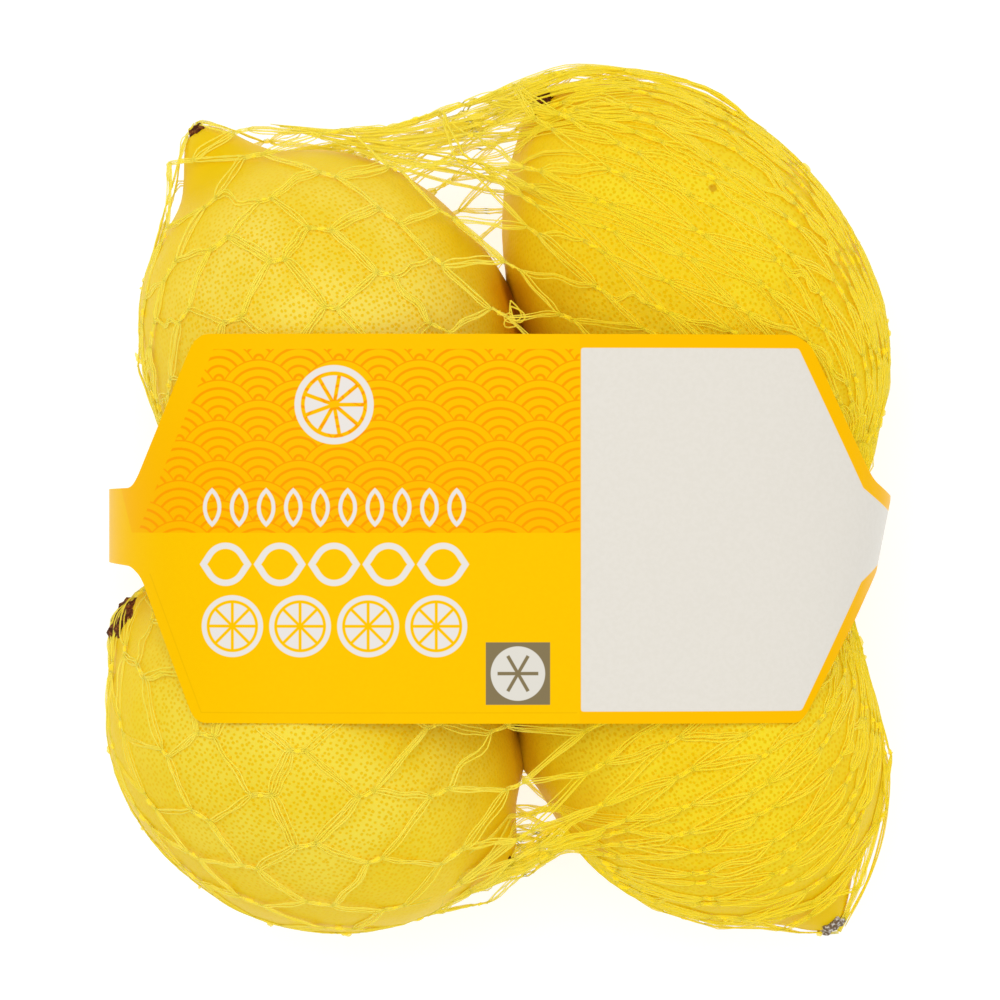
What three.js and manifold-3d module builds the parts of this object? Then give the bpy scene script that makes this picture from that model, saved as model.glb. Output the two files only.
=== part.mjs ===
// A net of four lemons: the fruit lie in a knitted tube of net that is gathered at both ends,
// and a printed label arches across the front from one gathered end to the other.
//
// Sizes are millimetres. The pack lies on its back with the label up (+Z), the top of the label
// towards +Y, and the origin on the table under the middle of the pack.
import * as THREE from "three";
import { mergeVertices } from "three/addons/utils/BufferGeometryUtils.js";
import Module from "manifold-3d";

const wasm = await Module();
wasm.setup();

// The middle of the pack's box, in the coordinates that the sizes below are given in.
const PACK_MIDDLE_X = -0.2;
const PACK_MIDDLE_Y = -1.0;

// Each lemon lies on its side. `heading` is the way its stem end points, in degrees from +X
// towards +Y. `halfLength` and `radius` are those of its plump body, and `stemTip` and
// `blossomTip` say how far each pointed end stands out beyond that.
const LEMONS = [
  { x: -28.2, y: 25.2, heading: 121.4, halfLength: 33.4, radius: 30.0, stemTip: 8.6, blossomTip: 1.6 },
  { x: 32.2, y: 35.2, heading: 129.8, halfLength: 38.6, radius: 26.5, stemTip: 2.2, blossomTip: 2.8 },
  { x: -30.8, y: -39.2, heading: 147.4, halfLength: 35.2, radius: 30.4, stemTip: 2.6, blossomTip: 3.0 },
  { x: 32.4, y: -36.6, heading: 124.1, halfLength: 36.0, radius: 28.3, stemTip: 2.4, blossomTip: 4.8 },
];
const TIP_WIDTH = 6.5;
const TIP_POWER = 2.7;
const LEMON_STEPS_ALONG = 22;
const LEMON_STEPS_ROUND = 36;

// How much of each lemon is pressed flat where it rests on the table.
const FLAT_DEPTH = 0.4;

// The net closes the spaces between the fruit like a slack cushion, which sags between them in
// front and is drawn nearly flat along the table. Its rim shows only in the four gaps, and runs
// inside the fruit between them. Points go round from the right-hand end.
const NET_RIM = [
  [60.5, -5.0],
  [48.0, 30.0],
  [12.0, 64.0],
  [3.0, 68.0],
  [-8.0, 64.8],
  [-20.0, 61.2],
  [-46.0, 59.5],
  [-50.0, 30.0],
  [-60.5, -4.6],
  [-50.0, -45.0],
  [-20.0, -68.0],
  [-5.0, -66.6],
  [5.0, -62.6],
  [11.6, -57.0],
  [45.0, -50.0],
];
const NET_RIM_Z = 28.0;
const NET_RISE_ABOVE = 10.0;
const NET_DROP_BELOW = 26.0;
const NET_RIM_SHARPNESS = 1.1;
const NET_STEPS_ROUND = 60;
const NET_STEPS_ACROSS = 12;

// The net is drawn together at each end into a flat bunch that is sealed behind a label tab.
const GATHER_LENGTH = 20.0;
const LEFT_GATHER_X = -63.3;
const RIGHT_GATHER_X = 61.3;
const GATHER_Y = -4.8;
const GATHER_Z = 26.0;
const GATHER_END_HEIGHT = 12.0;
const GATHER_ROOT_HEIGHT = 22.0;
const GATHER_FLATNESS = 0.42;

// The label is a stiff film bent into an arch from tab to tab. It lies a little higher on the
// left, where the fruit are bigger. Its section along X is part of a superellipse.
const LABEL_HALF_SPAN = 64.6;
const LABEL_THICKNESS = 0.5;
const LABEL_END_Z = 20.5;
const LABEL_CREST_Z = 61.1;
const LABEL_SLOPE = -0.045;
const ARCH_POWER = 3.4;
const LABEL_STEPS = 44;

// Upper and lower edge of the label, as [x, y] from the left-hand tab to the right-hand one.
const LABEL_UPPER_EDGE = [
  [-64.6, 1.8],
  [-60.2, 2.0],
  [-59.2, 3.4],
  [-49.8, 25.6],
  [-48.0, 26.9],
  [48.0, 26.8],
  [50.6, 25.0],
  [59.8, 5.7],
  [61.2, 3.3],
  [64.6, 0.5],
];
const LABEL_LOWER_EDGE = [
  [-64.6, -10.2],
  [-60.2, -10.8],
  [-58.4, -12.6],
  [-49.8, -35.2],
  [-48.3, -36.1],
  [49.2, -36.2],
  [50.6, -35.2],
  [60.6, -19.0],
  [64.6, -11.2],
];

// The right-hand end of the label leans in towards its lower edge.
const RIGHT_LEAN = 0.2;
const RIGHT_LEAN_POWER = 8;

// A closed three.js geometry as a solid that can be joined and cut.
function solidFrom(geometry) {
  const bare = geometry.clone();
  bare.deleteAttribute("normal");
  bare.deleteAttribute("uv");
  const merged = mergeVertices(bare, 1e-4);
  return new wasm.Manifold(
    new wasm.Mesh({
      numProp: 3,
      vertProperties: merged.attributes.position.array,
      triVerts: new Uint32Array(merged.index.array),
    }),
  );
}

function geometryFrom(solid) {
  const mesh = solid.getMesh();
  const geometry = new THREE.BufferGeometry();
  geometry.setAttribute("position", new THREE.BufferAttribute(mesh.vertProperties, 3));
  geometry.setIndex(new THREE.BufferAttribute(mesh.triVerts, 1));
  geometry.computeVertexNormals();
  return geometry;
}

// Moves every point of a geometry to the place that `place` gives for it.
function reshape(geometry, place) {
  const points = geometry.attributes.position;
  const point = new THREE.Vector3();
  for (let i = 0; i < points.count; i++) {
    place(point.fromBufferAttribute(points, i));
    points.setXYZ(i, point.x, point.y, point.z);
  }
  return geometry;
}

// A lemon's section: an ellipse whose two ends are drawn out into blunt tips.
function lemonProfile({ halfLength, radius, stemTip, blossomTip }) {
  const points = [];
  for (let i = 0; i <= LEMON_STEPS_ALONG; i++) {
    const turn = Math.PI * (1 - i / LEMON_STEPS_ALONG);
    const away = i === 0 || i === LEMON_STEPS_ALONG ? 0 : radius * Math.sin(turn);
    const tip = Math.exp(-((away / TIP_WIDTH) ** TIP_POWER));
    const drawnOut = Math.cos(turn) > 0 ? stemTip * tip : -blossomTip * tip;
    points.push(new THREE.Vector2(away, halfLength * Math.cos(turn) + drawnOut));
  }
  return points;
}

function lemon(sizes) {
  const geometry = new THREE.LatheGeometry(lemonProfile(sizes), LEMON_STEPS_ROUND);
  geometry.rotateZ(THREE.MathUtils.degToRad(sizes.heading - 90));
  geometry.translate(sizes.x, sizes.y, sizes.radius - FLAT_DEPTH);
  return solidFrom(geometry);
}

// The cushion of net between the fruit: a ball whose outline follows the rim.
function netCushion() {
  const rim = new THREE.CatmullRomCurve3(
    NET_RIM.map(([x, y]) => new THREE.Vector3(x, y, 0)),
    true,
    "centripetal",
  );
  const ball = new THREE.SphereGeometry(1, NET_STEPS_ROUND, NET_STEPS_ACROSS);
  ball.rotateX(Math.PI / 2);
  reshape(ball, (point) => {
    const spread = Math.hypot(point.x, point.y);
    const round = Math.atan2(point.y, point.x) / (2 * Math.PI);
    const edge = rim.getPoint((round + 1) % 1);
    const reach = point.z > 0 ? NET_RISE_ABOVE : -NET_DROP_BELOW;
    const fullness = Math.abs(point.z) ** NET_RIM_SHARPNESS;
    point.set(edge.x * spread, edge.y * spread, NET_RIM_Z + reach * fullness);
  });
  return solidFrom(ball);
}

// A gathered end of the net, a flat cone that is narrow at endX and widens towards the fruit.
function gatheredEnd(endX) {
  const side = Math.sign(endX);
  const cone = new THREE.CylinderGeometry(
    GATHER_END_HEIGHT / 2,
    GATHER_ROOT_HEIGHT / 2,
    GATHER_LENGTH,
    20,
  );
  cone.rotateZ((-side * Math.PI) / 2);
  cone.scale(1, 1, GATHER_FLATNESS);
  cone.translate(endX - (side * GATHER_LENGTH) / 2, GATHER_Y, GATHER_Z);
  return solidFrom(cone);
}

function lemonsInNet() {
  let solid = netCushion();
  for (const endX of [LEFT_GATHER_X, RIGHT_GATHER_X]) {
    solid = solid.add(gatheredEnd(endX));
  }
  for (const sizes of LEMONS) {
    solid = solid.add(lemon(sizes));
  }
  const table = new THREE.BoxGeometry(200, 200, 20);
  table.translate(0, 0, -10);
  return geometryFrom(solid.subtract(solidFrom(table)));
}

// Height of a label edge at x, on straight lines between its corners.
function edgeAt(edge, x) {
  const next = Math.max(1, edge.findIndex(([cornerX]) => cornerX >= x));
  const [x0, y0] = edge[next - 1];
  const [x1, y1] = edge[next];
  return THREE.MathUtils.mapLinear(x, x0, x1, y0, y1);
}

// Stations along the arch: even steps of angle, and every corner of the two edges.
function labelStations() {
  const stations = new Set();
  for (let i = 0; i <= LABEL_STEPS; i++) {
    const turn = (i / LABEL_STEPS - 0.5) * Math.PI;
    const reach = Math.abs(Math.sin(turn)) ** (2 / ARCH_POWER);
    stations.add(Math.sign(turn) * LABEL_HALF_SPAN * Math.min(1, reach));
  }
  for (const [x] of [...LABEL_UPPER_EDGE, ...LABEL_LOWER_EDGE]) {
    stations.add(x);
  }
  const sorted = [...stations].sort((a, b) => a - b);
  return sorted.filter((x, i) => i === 0 || x - sorted[i - 1] > 0.02);
}

// Outer face of the arch at x, with the outward direction there.
function archAt(x) {
  const reach = Math.abs(x) / LABEL_HALF_SPAN;
  const rise = LABEL_CREST_Z + LABEL_SLOPE * x - LABEL_END_Z;
  const height = Math.max(0, 1 - reach ** ARCH_POWER) ** (1 / ARCH_POWER);
  const outward = new THREE.Vector2(
    (Math.sign(x) * reach ** (ARCH_POWER - 1)) / LABEL_HALF_SPAN,
    height ** (ARCH_POWER - 1) / rise,
  ).normalize();
  return { z: LABEL_END_Z + rise * height, outward };
}

function label() {
  const stations = labelStations();
  const steps = stations.length - 1;
  const sheet = new THREE.BoxGeometry(1, 1, 1, steps, 1, 1);
  return reshape(sheet, (point) => {
    const x = stations[Math.round((point.x + 0.5) * steps)];
    const y = edgeAt(point.y > 0 ? LABEL_UPPER_EDGE : LABEL_LOWER_EDGE, x);
    const { z, outward } = archAt(x);
    const inset = point.z > 0 ? 0 : LABEL_THICKNESS;
    const rightness = Math.max(0, x / LABEL_HALF_SPAN) ** RIGHT_LEAN_POWER;
    const lean = RIGHT_LEAN * Math.min(0, y) * rightness;
    point.set(x - inset * outward.x + lean, y, z - inset * outward.y);
  });
}

const NET_FINISH = new THREE.MeshStandardMaterial({ color: 0xf0d43c, roughness: 0.5, metalness: 0 });
const LABEL_FINISH = new THREE.MeshStandardMaterial({ color: 0xffc400, roughness: 0.4, metalness: 0 });

const pack = new THREE.Group();
pack.position.set(-PACK_MIDDLE_X, -PACK_MIDDLE_Y, 0);

const fruit = new THREE.Mesh(lemonsInNet(), NET_FINISH);
fruit.name = "lemons_in_net";
pack.add(fruit);

const band = new THREE.Mesh(label(), LABEL_FINISH);
band.name = "label";
pack.add(band);

export default pack;
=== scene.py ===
"""A net of four lemons with a film label across the front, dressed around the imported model.

Sizes are worked out in millimetres, in the coordinates that the solids' sizes are given in,
and turned into metres in the pack's own frame when a mesh is made.
"""

import math

import bpy
import numpy as np
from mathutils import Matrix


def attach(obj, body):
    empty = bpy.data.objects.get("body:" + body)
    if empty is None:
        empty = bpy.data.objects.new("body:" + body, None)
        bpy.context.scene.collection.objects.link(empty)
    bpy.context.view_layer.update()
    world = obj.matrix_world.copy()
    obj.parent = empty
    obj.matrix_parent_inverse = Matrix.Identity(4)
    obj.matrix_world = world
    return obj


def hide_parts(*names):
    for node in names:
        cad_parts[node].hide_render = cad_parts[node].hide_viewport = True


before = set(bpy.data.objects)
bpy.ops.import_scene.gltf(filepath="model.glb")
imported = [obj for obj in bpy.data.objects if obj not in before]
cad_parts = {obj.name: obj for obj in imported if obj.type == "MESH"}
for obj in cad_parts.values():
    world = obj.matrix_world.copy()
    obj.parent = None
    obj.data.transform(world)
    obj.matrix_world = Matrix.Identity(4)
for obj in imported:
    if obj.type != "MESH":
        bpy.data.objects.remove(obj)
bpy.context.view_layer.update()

MM = 0.001
TURN = 2 * math.pi
PACK_MIDDLE = np.array([-0.2, -1.0, 0.0])

# The photo's scale at the height of the fruit's middle, and the camera that gives it.
PIXEL_MM = 0.165
PHOTO_PIXELS = 1000
CAMERA_DISTANCE = 1500.0
FRUIT_MIDDLE_Z = 30.0
SENSOR_MM = 36.0
FLOOR_HALF_SIZE = 3.0
LIGHT_TARGET = (0, 0, 0.03)
WORLD_STRENGTH = 0.68

# Fruit: heading is the way the stem end points, in degrees from +X towards +Y.
LEMONS = {
    "upper_left": dict(x=-28.2, y=25.2, heading=121.4, half=33.4, radius=30.0, stem=8.6, blossom=1.6),
    "upper_right": dict(x=32.2, y=35.2, heading=129.8, half=38.6, radius=26.5, stem=2.2, blossom=2.8),
    "lower_left": dict(x=-30.8, y=-39.2, heading=147.4, half=35.2, radius=30.4, stem=2.6, blossom=3.0),
    "lower_right": dict(x=32.4, y=-36.6, heading=124.1, half=36.0, radius=28.3, stem=2.4, blossom=4.8),
}
TIP_WIDTH = 6.5
TIP_POWER = 2.7
LEMON_STEPS_ROUND = 200
LEMON_STEPS_ALONG = 124
FRUIT_FLOOR = 0.32
LUMP_HEIGHT = 0.34
PEBBLE_HEIGHT = 0.045
GLAND_SPACING = 0.88
GLAND_JITTER = 0.58
FEWEST_GLANDS = 3.0
ROW_SCRAMBLE = 12.9898
# Where two lemons press on each other: place, how far each peel is pushed out, and how widely.
CONTACTS = [
    ("upper_left", "upper_right", (2.4, 30.0, 28.0), 1.75, 8.5),
    ("lower_left", "lower_right", (3.1, -42.0, 29.3), 1.0, 5.0),
    ("upper_left", "lower_left", (-29.9, -7.3, 30.4), 0.4, 7.0),
]
# Painted shade in the creases there, where the peel is painted orange and then brown: the line's ends
# in x and y, and how deep the painted shade gets.
PAINTED_CREASE_SHADE = {
    "upper_left": ((0.9, 36.0), (3.9, 25.0), 1.0),
    "upper_right": ((0.9, 36.0), (3.9, 25.0), 1.0),
    "lower_left": ((3.7, -46.5), (2.2, -34.0), 0.3),
    "lower_right": ((3.7, -46.5), (2.2, -34.0), 0.3),
}
# Pale and deep ground colour of each peel, in sRGB.
PEEL_COLOURS = {
    "upper_left": ((247, 223, 88), (242, 211, 46)),
    "upper_right": ((248, 220, 22), (245, 210, 0)),
    "lower_left": ((246, 223, 68), (241, 211, 30)),
    "lower_right": ((249, 222, 22), (246, 212, 0)),
}
# A brown mark on the peel, as x, y and radius.
PEEL_MARKS = {"upper_right": (34.6, 50.8, 0.42)}
# Stem and blossom scars: fruit, end (1 stem, -1 blossom), rise of the scar over the level axis in
# degrees, radius, height, number of lobes.
SCARS = {
    "stem_button_upper_left": ("upper_left", 1, 1.2, 1.3, 0.9, 5),
    "calyx_upper_right": ("upper_right", 1, 5, 2.3, 0.9, 5),
    "stem_scar_lower_left": ("lower_left", 1, 3.5, 4.4, 0.9, 6),
    "blossom_spot_lower_left": ("lower_left", -1, 2.5, 1.5, 0.5, 4),
    "stem_scar_lower_right": ("lower_right", -1, 0.5, 2.6, 0.7, 6),
}
SCAR_RINGS = 10
SCAR_STEPS_ROUND = 48
SCAR_LIFT = 0.04
SCAR_DEPTH = 0.5

# Label film.
LABEL_HALF_SPAN = 64.6
LABEL_END_Z = 20.5
LABEL_CREST_Z = 61.1
LABEL_SLOPE = -0.045
ARCH_POWER = 3.4
LABEL_THICKNESS = 0.28
RIGHT_LEAN = 0.2
RIGHT_LEAN_POWER = 8
PRINT_SOFTNESS = 0.07
# Print: middle and half width of the three rows of ornament, then each row's height and pitch.
ART_MIDDLE = -26.8
ART_HALF_WIDTH = 22.0
LEAF_ROW = -1.2
LEAF_PITCH = 4.4
LEMON_ROW = -10.4
LEMON_PITCH = 8.8
SLICE_ROW = -20.4
SLICE_PITCH = 11.0
BADGE_MIDDLE = (2.9, -28.05)
BADGE_GREY = (134, 119, 86)
LABEL_STEPS_ALONG = 240
LABEL_STEPS_ACROSS = 48
LABEL_UPPER_EDGE = [
    (-64.6, 1.8), (-60.2, 2.0), (-59.2, 3.4), (-49.8, 25.6), (-48.0, 26.9), (48.0, 26.8),
    (50.6, 25.0), (59.8, 5.7), (61.2, 3.3), (64.6, 0.5),
]
LABEL_LOWER_EDGE = [
    (-64.6, -10.2), (-60.2, -10.8), (-58.4, -12.6), (-49.8, -35.2), (-48.3, -36.1), (49.2, -36.2),
    (50.6, -35.2), (60.6, -19.0), (64.6, -11.2),
]

# Knitted net: a tube of diamonds along X, drawn together at both ends.
NET_COLUMNS = 50
NET_ROWS = 18
STRAND_LENGTH = 10.0
JOINT_LENGTH = 2.3
STRAND_PARTS = 3
LEFT_FRONT_SHARE = 0.28
RIGHT_FRONT_SHARE = 0.74
RIGHT_CELL_STRETCH = 1.3
LEFT_BUNCH_X = -53.0
RIGHT_BUNCH_X = 56.0
LEFT_SEAL_X = -63.3
RIGHT_SEAL_X = 61.3
SEAL_Y = -4.8
SEAL_Z = 26.0
# The big pouch that the net is laid out on before it is drawn tight.
POUCH_HALF_LENGTH = 63.0
POUCH_REACH_Y = 72.0
POUCH_REACH_Z = 34.0
POUCH_POWER = 0.42
ROW_POWER = 1.12
# How the net is drawn tight: steps, pull of each strand, rounds and force that hold its length,
# drag on the peel, and clearances.
NET_STEPS = 500
NET_PULL = 0.25
LENGTH_ROUNDS = 4
LENGTH_FORCE = 1.3
PEEL_DRAG = 0.8
NET_CLEARANCE = 0.3
CLEAR_OF_LABEL = 0.75
NET_LEFT_X = -64.4
NET_RIGHT_X = 64.2
TABLE_CLEARANCE = 0.02
FILAMENT_RADIUS = 0.145
# Emission strength of the net: a painted glow, though the net is no lamp.
NET_PAINTED_GLOW = 0.24
# The net is cut into pieces at these heights, so that none has too many faces.
LAYER_HEIGHTS = {"a": (-100, 12), "b": (12, 24), "c": (24, 34), "d": (34, 200)}
# Filaments of a strand: distance from its middle and the share of strands that have them.
FILAMENTS = [(-0.44, 1.0), (-0.14, 0.7), (0.14, 0.7), (0.42, 1.0), (0.9, 0.25), (-1.0, 0.2)]
# Loose loops of strand: place, heading in degrees, length, half the width.
LOOSE_LOOPS = [
    ((1.8, 32.2, 46.5), -50, 3.4, 0.9),
    ((2.1, 28.6, 47.5), 150, 2.2, 0.7),
]
# Places where the net is caught on a stem or hangs free between the fruit, as (x, y, z).
SNAGS = [
    (-50.2, 62.0, 31.0), (-54.2, 55.5, 36.0), (-41.5, 61.0, 34.0), (-33.0, 60.8, 29.0),
    (-25.0, 61.0, 34.0), (-17.5, 61.6, 31.0), (-10.0, 64.0, 32.0), (-4.0, 66.2, 29.0),
    (2.2, 68.4, 32.0), (8.6, 70.4, 31.0), (14.0, 71.5, 29.0), (20.4, 70.8, 32.0),
    (55.9, -71.2, 29.0), (58.6, -64.0, 35.0), (47.0, -70.6, 33.0), (-11.6, -68.3, 30.0),
    (-2.0, -66.4, 29.0), (5.5, -61.4, 31.0), (64.5, -42.0, 31.0), (63.6, -51.0, 33.0),
    (-59.8, 22.0, 27.0),
]
# Layers of net between the fruit: outer edge, inner edge, and the number of strands between them.
WEBS = [
    (
        [(-38, 62, 32), (-21, 60.8, 32), (-5, 65.4, 30), (12, 70.6, 29), (30, 69.6, 29), (44, 61, 30)],
        [(-22, 57, 38), (-11, 52, 37), (0, 47, 36), (12, 42, 42), (26, 30, 48), (42, 14, 46)],
        15,
    ),
    (
        [(-6, 65.2, 29), (5, 69.2, 30), (14, 71.4, 30), (24, 70.6, 30), (36, 67.2, 29), (46, 58, 29)],
        [(0, 62, 33), (8, 65, 34), (16, 66.5, 36), (25, 66.5, 36), (36, 62.5, 38), (46, 54, 38)],
        7,
    ),
    (
        [
            (-14, -68.6, 29), (-3, -66, 29), (5, -61, 30),
            (11, -55.2, 31), (18, -59.6, 30), (28, -66.6, 30),
        ],
        [(-8, -54, 42), (0, -50, 38), (4, -49, 37), (9, -49.5, 38), (18, -50, 44), (30, -50, 50)],
        9,
    ),
    (
        [(-61.5, -18, 30), (-64.1, -26, 28), (-64.3, -34, 28), (-62.6, -42, 28), (-57.5, -51, 28)],
        [(-60.5, -18, 32), (-62.6, -26, 30), (-63, -34, 30), (-61.0, -42, 30), (-56.5, -51, 30)],
        2,
    ),
    (
        [(61, -36, 32), (64.2, -44, 29), (63.8, -53, 28), (61.2, -62, 28), (57, -70.5, 28)],
        [(60, -36, 34), (62.4, -44, 32), (62, -53, 32), (59.4, -62, 31), (56, -69.5, 30)],
        4,
    ),
]
# Where the net's own outline runs over the gaps between the fruit, as (x, y).
TOP_EDGE = [
    (-66, 50), (-52, 62.4), (-42.9, 62.3), (-33, 60.8), (-18.2, 61.4), (-9.9, 64.4), (-3.3, 66.5),
    (3.3, 68.8), (14, 71.6), (22, 71.0), (34, 68.3), (45, 60), (66, 55),
]
BOTTOM_EDGE = [
    (-66, -50), (-48, -67.5), (-40, -70.5), (-26, -72), (-11.6, -68.5), (-3.3, -66.8), (5, -61.9),
    (11.6, -55.8), (17, -60.7), (25, -67.5), (33, -70.4), (50, -72.0), (53, -71.5), (60, -60),
    (66, -50),
]


def linear(red, green, blue):
    """An sRGB colour in 0 to 255 as linear light."""

    def one(value):
        value /= 255
        return value / 12.92 if value <= 0.04045 else ((value + 0.055) / 1.055) ** 2.4

    return (one(red), one(green), one(blue), 1.0)


def math_method(operation, reflected=False):
    """A method of Wire that adds one Math node; reflected takes the wire as the second value."""

    def method(wire, *others):
        node = wire.shader.tree.nodes.new("ShaderNodeMath")
        node.operation = operation
        values = (*others, wire) if reflected else (wire, *others)
        for socket, value in zip(node.inputs, values):
            wire.shader.feed(socket, value)
        return Wire(wire.shader, node.outputs[0])

    return method


class Wire:
    """The output of a shader node; arithmetic on it adds Math nodes."""

    def __init__(self, shader, socket):
        self.shader = shader
        self.socket = socket

    __add__ = math_method("ADD")
    __radd__ = math_method("ADD", reflected=True)
    __sub__ = math_method("SUBTRACT")
    __rsub__ = math_method("SUBTRACT", reflected=True)
    __mul__ = math_method("MULTIPLY")
    __rmul__ = math_method("MULTIPLY", reflected=True)
    __truediv__ = math_method("DIVIDE")
    __abs__ = math_method("ABSOLUTE")
    low = math_method("MINIMUM")
    high = math_method("MAXIMUM")
    smooth_low = math_method("SMOOTH_MIN")
    smooth_high = math_method("SMOOTH_MAX")
    sine = math_method("SINE")
    arc_cosine = math_method("ARCCOSINE")
    root = math_method("SQRT")
    fraction = math_method("FRACT")
    floor = math_method("FLOOR")
    rounded = math_method("ROUND")
    angle_to = math_method("ARCTAN2")

    def ramp(self, start, end):
        """0 before start and 1 after end, smooth between; start may be the larger one."""
        sockets = {"Value": self, "From Min": min(start, end), "From Max": max(start, end)}
        if start > end:
            sockets.update({"To Min": 1.0, "To Max": 0.0})
        return self.shader.node("ShaderNodeMapRange", {"interpolation_type": "SMOOTHSTEP"}, sockets)


class Shader:
    """One material, built from Principled BSDF and the nodes that vary it."""

    def __init__(self, name, **constants):
        self.material = bpy.data.materials.new(name)
        self.material.use_nodes = True
        self.tree = self.material.node_tree
        self.tree.nodes.clear()
        output = self.tree.nodes.new("ShaderNodeOutputMaterial")
        self.surface = self.tree.nodes.new("ShaderNodeBsdfPrincipled")
        self.tree.links.new(self.surface.outputs[0], output.inputs["Surface"])
        for socket, value in constants.items():
            self.surface.inputs[socket.replace("_", " ")].default_value = value

    def feed(self, socket, value):
        if isinstance(value, Wire):
            self.tree.links.new(value.socket, socket)
        else:
            socket.default_value = value

    def node(self, kind, settings=None, sockets=None, out=0):
        node = self.tree.nodes.new(kind)
        for key, value in (settings or {}).items():
            setattr(node, key, value)
        for key, value in (sockets or {}).items():
            self.feed(node.inputs[key], value)
        return Wire(self, node.outputs[out])

    def place(self):
        """The object's own coordinates, in metres."""
        return self.node("ShaderNodeTexCoord", out="Object")

    def axes(self, vector):
        return [
            self.node("ShaderNodeSeparateXYZ", sockets={"Vector": vector}, out=k) for k in range(3)
        ]

    def noise(self, vector, size_mm, detail=2.0, roughness=0.5):
        sockets = {"Vector": vector, "Scale": 1000 / size_mm, "Detail": detail, "Roughness": roughness}
        return self.node("ShaderNodeTexNoise", sockets=sockets)

    def mix(self, factor, first, second):
        node = self.tree.nodes.new("ShaderNodeMix")
        node.data_type = "RGBA"
        self.feed(node.inputs["Factor"], factor)
        self.feed(node.inputs[6], first)
        self.feed(node.inputs[7], second)
        return Wire(self, node.outputs[2])

    def bump(self, height, distance_mm, strength=1.0, normal=None):
        sockets = {"Height": height, "Distance": distance_mm * MM, "Strength": strength}
        if normal:
            sockets["Normal"] = normal
        return self.node("ShaderNodeBump", sockets=sockets)

    def set(self, socket, value):
        self.feed(self.surface.inputs[socket], value)


def add_object(name, data):
    thing = bpy.data.objects.new(name, data)
    bpy.context.scene.collection.objects.link(thing)
    return thing


def make_piece(name, points_mm, faces, material, slot):
    """A mesh object in the pack's frame that rides on its one body."""
    mesh = bpy.data.meshes.new(name)
    points = (np.asarray(points_mm, float) - PACK_MIDDLE) * MM
    faces = np.asarray(faces, np.int32)
    corners = faces.shape[1]
    mesh.vertices.add(len(points))
    mesh.vertices.foreach_set("co", points.astype(np.float32).ravel())
    mesh.loops.add(faces.size)
    mesh.loops.foreach_set("vertex_index", faces.ravel())
    mesh.polygons.add(len(faces))
    mesh.polygons.foreach_set("loop_start", np.arange(0, faces.size, corners, dtype=np.int32))
    mesh.polygons.foreach_set("use_smooth", np.full(len(faces), True))
    mesh.update(calc_edges=True)
    mesh.validate()
    mesh.materials.append(material)
    piece = add_object(name, mesh)
    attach(piece, "root")
    return piece


# Fruit


def waves(points, seed, count, shortest, longest):
    """Smooth noise of about -1 to 1: a sum of plane waves, wavelengths in millimetres."""
    rng = np.random.default_rng(seed)
    total = np.zeros(len(points))
    for _ in range(count):
        direction = rng.normal(size=3)
        direction /= np.linalg.norm(direction)
        length = rng.uniform(shortest, longest)
        phase = rng.uniform(0, TURN)
        total += np.sin(points @ direction * (TURN / length) + phase)
    return total / math.sqrt(count / 2) / 1.6


def section(lemon, turn):
    """Distance from the axis and place along it, at an angle from the stem end."""
    away = lemon["radius"] * np.sin(turn)
    tip = np.exp(-((np.abs(away) / TIP_WIDTH) ** TIP_POWER))
    drawn_out = np.where(np.cos(turn) > 0, lemon["stem"], -lemon["blossom"])
    return away, lemon["half"] * np.cos(turn) + drawn_out * tip


class Fruit:
    """One lemon's form, for its own mesh and for the net that lies on it."""

    def __init__(self, name, lemon):
        self.name = name
        self.lemon = lemon
        self.seed = 11 + 7 * list(LEMONS).index(name)
        heading = math.radians(lemon["heading"])
        self.axis = np.array([math.cos(heading), math.sin(heading), 0.0])
        self.middle = np.array([lemon["x"], lemon["y"], lemon["radius"]])
        away, along = section(lemon, np.linspace(math.pi, 0, 500))
        self.along = along
        self.away = np.maximum(away, 0)

    def split(self, points):
        """Place along the axis, distance from it and the direction away from it."""
        offset = points - self.middle
        along = offset @ self.axis
        out = offset - along[:, None] * self.axis
        away = np.linalg.norm(out, axis=1) + 1e-9
        return along, away, out / away[:, None]

    def lumps(self, points):
        """How far the real, uneven peel stands off the smooth section."""
        local = points - self.middle
        lumps = LUMP_HEIGHT * waves(local, self.seed, 18, 22.0, 46.0)
        for first, second, place, height, width in CONTACTS:
            if self.name in (first, second):
                away = np.linalg.norm(points - np.array(place), axis=1) / width
                lumps = lumps * (1 - np.exp(-(away**4))) + height * np.exp(-(away**2))
        return lumps + PEBBLE_HEIGHT * waves(local, self.seed + 1, 40, 3.2, 6.0)

    def normals(self, along, out):
        step = 0.5
        ahead = np.interp(along + step, self.along, self.away, left=0, right=0)
        behind = np.interp(along - step, self.along, self.away, left=0, right=0)
        slope = np.clip((ahead - behind) / (2 * step), -6, 6)
        scale = 1 / np.sqrt(1 + slope**2)
        return scale[:, None] * (out - slope[:, None] * self.axis), scale

    def push_out(self, points, clearance, lumpy=False):
        """Moves points off the peel; returns which moved and the peel's directions there."""
        along, away, out = self.split(points)
        surface = np.interp(along, self.along, self.away, left=-1, right=-1)
        if lumpy:
            surface = np.where(surface > 0, surface + self.lumps(points), surface)
        direction, scale = self.normals(along, out)
        depth = (surface - away) * scale + clearance
        inside = (surface > 0) & (depth > 0)
        points[inside] += (np.minimum(depth, 6.0)[:, None] * direction)[inside]
        return inside, direction

    def tip(self, end):
        """The point at the stem end (1) or blossom end (-1)."""
        reach = self.lemon["half"] + (self.lemon["stem"] if end > 0 else self.lemon["blossom"])
        return self.middle + end * reach * self.axis


FRUITS = [Fruit(name, lemon) for name, lemon in LEMONS.items()]


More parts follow.
